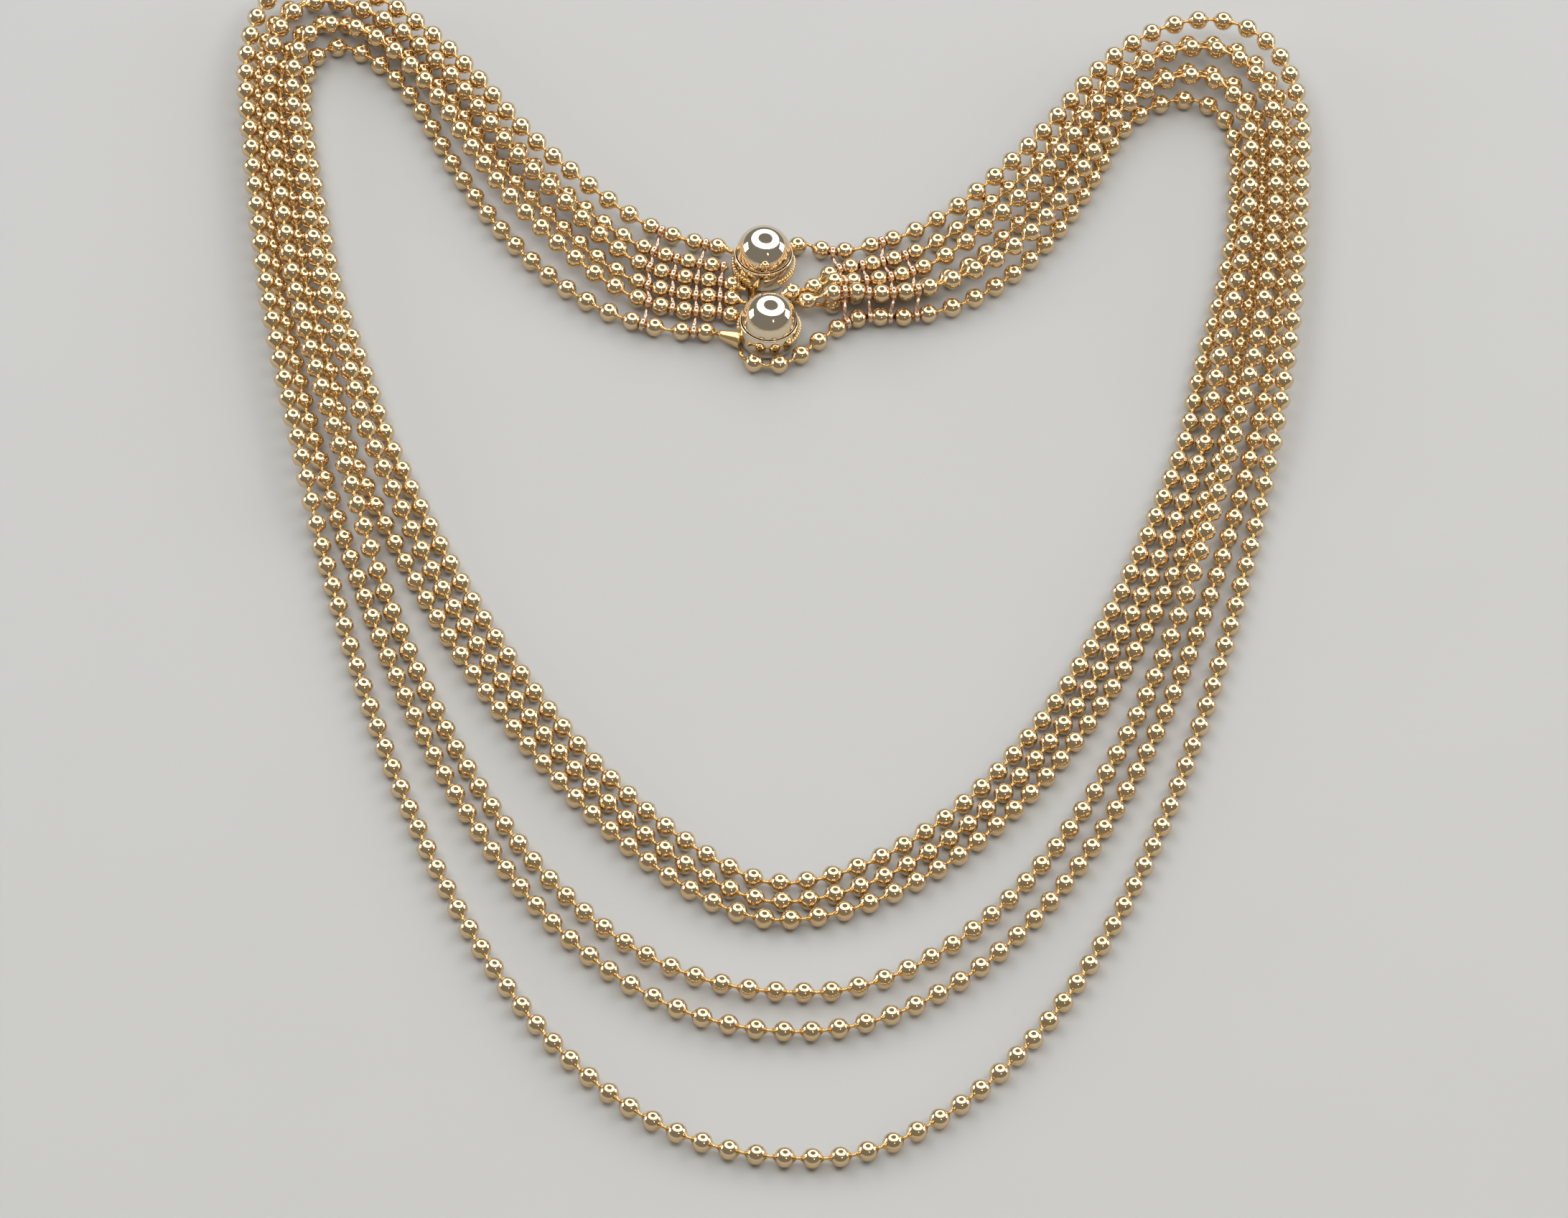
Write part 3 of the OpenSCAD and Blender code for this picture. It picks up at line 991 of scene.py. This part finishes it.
@dataclass(frozen=True)
class Block:
    """Box with eased upright edges and top, and a finer edge at its foot.

    Attributes:
        low: Its lowest corner.
        size: Its size.
        edge, foot_edge: Radii of the edges.
        sides, rows: Points round it, and rings in a rounding.
    """

    low: Triple
    size: Triple
    edge: float
    foot_edge: float = 0.12
    sides: int = 24
    rows: int = 4

    def surface(self) -> Surface:
        """Rings of a rounded rectangle going up."""
        half = np.array(self.size[:2]) / 2
        a = turns(self.sides) + math.pi / self.sides
        corner = np.stack([np.cos(a), np.sin(a)], -1)
        quarter = np.linspace(0, math.pi / 2, self.rows)
        sine, cosine = 1 - np.sin(quarter), 1 - np.cos(quarter)
        steps = [*zip(self.foot_edge * sine, self.foot_edge * cosine),
                 *zip(self.edge * cosine, self.size[2] - self.edge * sine)]
        rings = [np.column_stack([
            np.sign(corner) * (half - self.edge) + corner * (self.edge - inset),
            np.full(self.sides, z)]) for inset, z in steps]
        return loft(np.array(rings)[:, ::-1] + np.array(self.low) + [*half, 0] - CENTRE)


@dataclass
class Clasp:
    """Two cups with balls, their twisted wires, the bridge, the end cone and the tongue.

    Attributes:
        upper, lower: Centres of the cups.
        ball_d, ball_z: Diameter of a ball, and height of its centre.
        rim_z, cup_d: Height and greatest diameter of a cup.
        seat_gap: Room between a ball and its seat.
        seat_ends: Angles that the seat leaves free at the rim and at its pole.
        outline: Rows of height, and how much narrower the cup's radius is there.
        wire_d: Diameter of a twisted wire.
        upper_wires, lower_wires: The wires round each cup.
        strands, twist_pitch: Strands of a wire, and the length of a full twist.
        strand_sides, twist_steps: Points round a strand, and its rings in a full twist.
        strand_fill: Thickness of a strand over half that of the wire.
        bridge_foot, bridge_d, bridge_length: Start and size of the bar along Y.
        cone_foot, cone_way: Start and direction of the end cone.
        cone_outline: Rows of its radius and height, with the stem first.
        plate, post: The two blocks of the tongue.
        sides, bar_sides, cone_sides, end_sides: Steps round a ball or a cup, round the
            bridge, round the cone and round the ball at a wire's end.
        ball_rows, end_rows, seat_rows: Rows of a ball, of such an end and of a seat.
    """

    upper: tuple[float, float] = (-1.6, 58.8)
    lower: tuple[float, float] = (-1.1, 47.1)
    ball_d: float = 7.2
    ball_z: float = 4.0
    rim_z: float = 3.9
    cup_d: float = 8.0
    seat_gap: float = 0.1
    seat_ends: tuple[float, float] = (0.01, 0.02)
    outline: tuple[tuple[float, float], ...] = (
        (0, 0.7), (0.1, 0.58), (0.3, 0.4), (0.6, 0.2), (0.9, 0.08), (1.3, 0.01), (1.7, 0),
        (2.3, 0), (2.8, 0.01), (3.1, 0.03), (3.4, 0.07), (3.6, 0.11), (3.78, 0.15),
        (3.86, 0.19), (3.9, 0.25))
    wire_d: float = 0.5
    upper_wires: tuple[Wire, ...] = (
        Wire(2.1, -62, 304), Wire(1.55, -58, 300), Wire(1.0, 150, 95), Wire(0.45, 150, 90))
    lower_wires: tuple[Wire, ...] = (Wire(2.7, -50, 235),)
    strands: int = 2
    twist_pitch: float = 0.95
    strand_sides: int = 7
    twist_steps: int = 9
    strand_fill: float = 1.05
    bridge_foot: Triple = (-3.1, 49.9, 0.6)
    bridge_d: float = 1.2
    bridge_length: float = 5.8
    cone_foot: Triple = (-7.7, 46.9, 1.3)
    cone_way: Triple = (2.8, -1, 0)
    cone_outline: tuple[tuple[float, float], ...] = (
        (0, -0.7), (0.22, -0.7), (0.22, 0), (0.35, 0), (0.5, 0.1), (0.62, 0.5), (0.84, 1.5),
        (1.08, 2.6), (1.16, 2.9), (1.16, 3.05), (1.05, 3.15), (0, 3.2))
    plate: Block = Block(low=(-1.5, 51.8, 0), size=(3.4, 1.8, 1.4), edge=0.12)
    post: Block = Block(low=(-1.5, 51.9, 0), size=(1.2, 1.1, 2.4), edge=0.4)
    sides: int = 96
    bar_sides: int = 32
    cone_sides: int = 40
    end_sides: int = 16
    ball_rows: int = 49
    end_rows: int = 9
    seat_rows: int = 14

    def cup(self) -> Surface:
        """Cup turned from its foot, up the bulging wall, over a thin rim and into the seat."""
        seat = self.ball_d / 2 + self.seat_gap
        at_rim, at_pole = self.seat_ends
        start = math.asin((self.ball_z - self.rim_z) / seat) + at_rim
        inside = [(seat * math.cos(t), self.ball_z + seat * math.sin(t))
                  for t in np.linspace(-start, -math.pi / 2 + at_pole, self.seat_rows)]
        wall = [(self.cup_d / 2 - less, z) for z, less in self.outline]
        return lathe([(0.0, 0.0), *wall, *inside, (0.0, self.ball_z - seat)], self.sides)

    def wall(self, z: float) -> float:
        """Radius of a cup at a height."""
        return self.cup_d / 2 - float(np.interp(z, *zip(*self.outline)))

    def bridge(self) -> Surface:
        """Round bar that joins the two cups."""
        r, end = self.bridge_d / 2, self.bridge_length
        bar = lathe([(0.0, 0.0), (r, 0.0), (r, end), (0.0, end)], self.bar_sides)
        return placed(bar, self.bridge_foot, ALONG_Y)

    def twist(self, place: tuple[float, float], wire: Wire) -> Surface:
        """Twisted wire with a small ball at each end: each strand is a helix round an arc.

        Args:
            place: Centre of the cup.
            wire: Height and angles.

        Returns:
            The strands and the end balls as one mesh.
        """
        radius, thin = self.wall(wire.z), self.wire_d / 4
        twists = math.radians(wire.sweep) * radius / self.twist_pitch
        t = np.linspace(0, 1, int(twists * self.twist_steps))
        a = np.radians(wire.start + wire.sweep * t)
        out = np.stack([np.cos(a), np.sin(a), 0 * a], -1)
        arc = out * radius + np.array([*place, wire.z]) - CENTRE
        parts = []
        for w in range(self.strands):
            b = 2 * math.pi * (twists * t + w / self.strands)
            line = arc + out * (thin * np.cos(b))[:, None] + UP * (thin * np.sin(b))[:, None]
            ways = unit(np.gradient(line, axis=0))
            thick = np.full(len(t), thin * self.strand_fill)
            parts.append(loft(hoops(line, ways, thick, self.strand_sides)))
        end = ball(self.wire_d, 0.0, self.end_rows, self.end_sides)
        parts += [placed(end, p + CENTRE) for p in (arc[0], arc[-1])]
        return Surface.join(parts)

    def cone(self) -> Surface:
        """End cone of string 1 on a thin stem from its last bead, with a rolled mouth."""
        return placed(lathe(self.cone_outline, self.cone_sides), self.cone_foot, self.cone_way)

    def build(self, gold: bpy.types.Material, wire: bpy.types.Material) -> None:
        """Makes all pieces of the clasp: the wires' piece also has the bridge and the cone."""
        for name, place in (("upper", self.upper), ("lower", self.lower)):
            polished = ball(self.ball_d, self.ball_z, self.ball_rows, self.sides)
            placed(polished, (*place, 0)).build(
                f"ball_{name}", gold, "clasp_gold", f"clasp_ball_{name}")
        cups = [placed(self.cup(), (*place, 0)) for place in (self.upper, self.lower)]
        Surface.join(cups).build("clasp_body", gold, "clasp_gold", "clasp_setting")
        wires = [self.twist(self.upper, row) for row in self.upper_wires]
        wires += [self.twist(self.lower, row) for row in self.lower_wires]
        Surface.join([*wires, self.bridge(), self.cone()]).build(
            "clasp_wires", wire, "clasp_gold")
        Surface.join([self.plate.surface(), self.post.surface()]).build(
            "clasp_tongue_detail", gold, "clasp_gold", "clasp_tongue")


# Setting


def pose(right: np.ndarray, up: np.ndarray, back: np.ndarray, place: Triple) -> Matrix:
    """Matrix of an object with these axes at a place in metres."""
    m = np.eye(4)
    m[:3] = np.column_stack([right, up, back, place])
    return Matrix(m)


@dataclass(frozen=True)
class Light:
    """Soft area light that faces the middle of the necklace, in metres and watts."""

    name: str
    place: Triple
    size: tuple[float, float]
    power: float
    colour: Triple = (1, 1, 1)

    def build(self) -> None:
        """Adds the light."""
        data = bpy.data.lights.new(self.name, "AREA")
        data.shape, data.energy, data.color = "RECTANGLE", self.power, self.colour
        data.size, data.size_y = self.size
        piece = bpy.data.objects.new(self.name, data)
        piece.visible_camera = False
        back = unit(np.array(self.place))
        side = unit(np.cross(UP, back))
        piece.matrix_world = pose(side, np.cross(back, side), back, self.place)
        bpy.context.collection.objects.link(piece)


@dataclass
class Studio:
    """Pale floor, soft lights and the camera.

    Attributes:
        camera_mm: Place of the camera.
        azimuth, elevation, roll: Where it looks, in degrees.
        lens, sensor: Focal length and width of the sensor.
        clip: Nearest and farthest distance in metres that it sees.
        ring_elevation, ring_side: Direction of the ring light.
        ring_distance: Its distance in metres.
        ring_half_angles: Angles of its inner and outer edge, seen from the necklace.
        ring_strength: Its brightness.
        ring_sides: Points round it.
        lights: The area lights.
        floor: Finish of the floor.
        floor_half, floor_drop: Half its width, and how far it is under the necklace.
        surroundings: Brightness of the surroundings.
    """

    camera_mm: Triple = (-34.857, -739.118, 880.19)
    azimuth: float = 2.7247
    elevation: float = 50.3243
    roll: float = 2.0978
    lens: float = 206.044
    sensor: float = 36.0
    clip: tuple[float, float] = (0.05, 20.0)
    ring_elevation: float = 66.0
    ring_side: float = 0.1
    ring_distance: float = 0.8
    ring_half_angles: tuple[float, float] = (25.0, 50.0)
    ring_strength: float = 2.5
    ring_sides: int = 64
    lights: tuple[Light, ...] = (
        Light("softbox_left", (-1.04, 0.23, 0.26), (0.5, 0.4), 3.0),
        Light("softbox_right", (1.04, 0.23, 0.26), (0.5, 0.4), 3.0),
        Light("lamp", (0.27, -0.68, 0.62), (0.03, 0.12), 0.35, (1.0, 0.78, 0.4)))
    floor: Plain = Plain("pale_floor", (0.5, 0.5, 0.49), 0.85)
    floor_half: float = 3.0
    floor_drop: float = 0.0001
    surroundings: float = 0.24

    def camera(self) -> None:
        """Long lens from the front and above, with the photograph's tilt and slight roll."""
        data = bpy.data.cameras.new("camera")
        data.lens, data.sensor_width = self.lens, self.sensor
        data.clip_start, data.clip_end = self.clip
        a, e, r = (math.radians(v) for v in (self.azimuth, self.elevation, self.roll))
        ahead = np.array([math.sin(a) * math.cos(e), math.cos(a) * math.cos(e), -math.sin(e)])
        level = unit(np.cross(ahead, UP))
        right = level * math.cos(r) + np.cross(level, ahead) * math.sin(r)
        piece = bpy.data.objects.new("camera", data)
        place = np.array(self.camera_mm) * MM
        piece.matrix_world = pose(right, np.cross(right, ahead), -ahead, place)
        bpy.context.collection.objects.link(piece)
        bpy.context.scene.camera = piece

    def plane(self, name: str, points: list, faces: list,
              material: bpy.types.Material) -> bpy.types.Object:
        """Flat piece of the setting, which isn't part of the necklace."""
        mesh = bpy.data.meshes.new(name)
        mesh.from_pydata(points, [], faces)
        mesh.materials.append(material)
        piece = bpy.data.objects.new(name, mesh)
        bpy.context.collection.objects.link(piece)
        return piece

    def ring(self) -> None:
        """Large ring light over the clasp: an annulus that faces the necklace."""
        e, n = math.radians(self.ring_elevation), self.ring_sides
        way = unit(np.array([self.ring_side, math.cos(e), math.sin(e)]))
        radii = self.ring_distance * np.tan(np.radians(self.ring_half_angles))
        edges = hoops(np.stack([way * self.ring_distance] * 2), np.stack([way] * 2), radii, n)
        faces = [(i, (i + 1) % n, n + (i + 1) % n, n + i) for i in range(n)]
        glow = Glow("ring_light", self.ring_strength).make()
        self.plane("ring_light", edges.reshape(-1, 3).tolist(), faces, glow).visible_camera = False

    def build(self) -> None:
        """Sets up the floor, the lights, the surroundings and the camera."""
        r = self.floor_half
        corners = [(-r, -r, 0), (r, -r, 0), (r, r, 0), (-r, r, 0)]
        floor = self.plane("floor", corners, [(0, 1, 2, 3)], self.floor.make())
        floor.location.z = -self.floor_drop
        self.ring()
        for light in self.lights:
            light.build()
        world = bpy.data.worlds.new("surroundings")
        world.use_nodes = True
        background = world.node_tree.nodes["Background"].inputs
        background["Color"].default_value = (1, 1, 1, 1)
        background["Strength"].default_value = self.surroundings
        bpy.context.scene.world = world
        bpy.context.scene.view_settings.view_transform = "Standard"
        self.camera()


def main() -> None:
    """Builds the necklace and its setting."""
    logging.basicConfig(level=logging.INFO, format="%(message)s")
    routes = Routes()
    beads, clasp, wire, rings = (
        gold.make() for gold in (BEAD_GOLD, CLASP_GOLD, WIRE_GOLD, SPACER_GOLD))
    for number in range(1, STRINGS + 1):
        BeadString(number, routes).build(beads)
    for half in (LEFT, RIGHT):
        for row in range(1, len(half.spacers) + 1):
            Spacer(half, row, routes).build(rings)
    Clasp().build(clasp, wire)
    Studio().build()


if __name__ == "__main__":
    main()
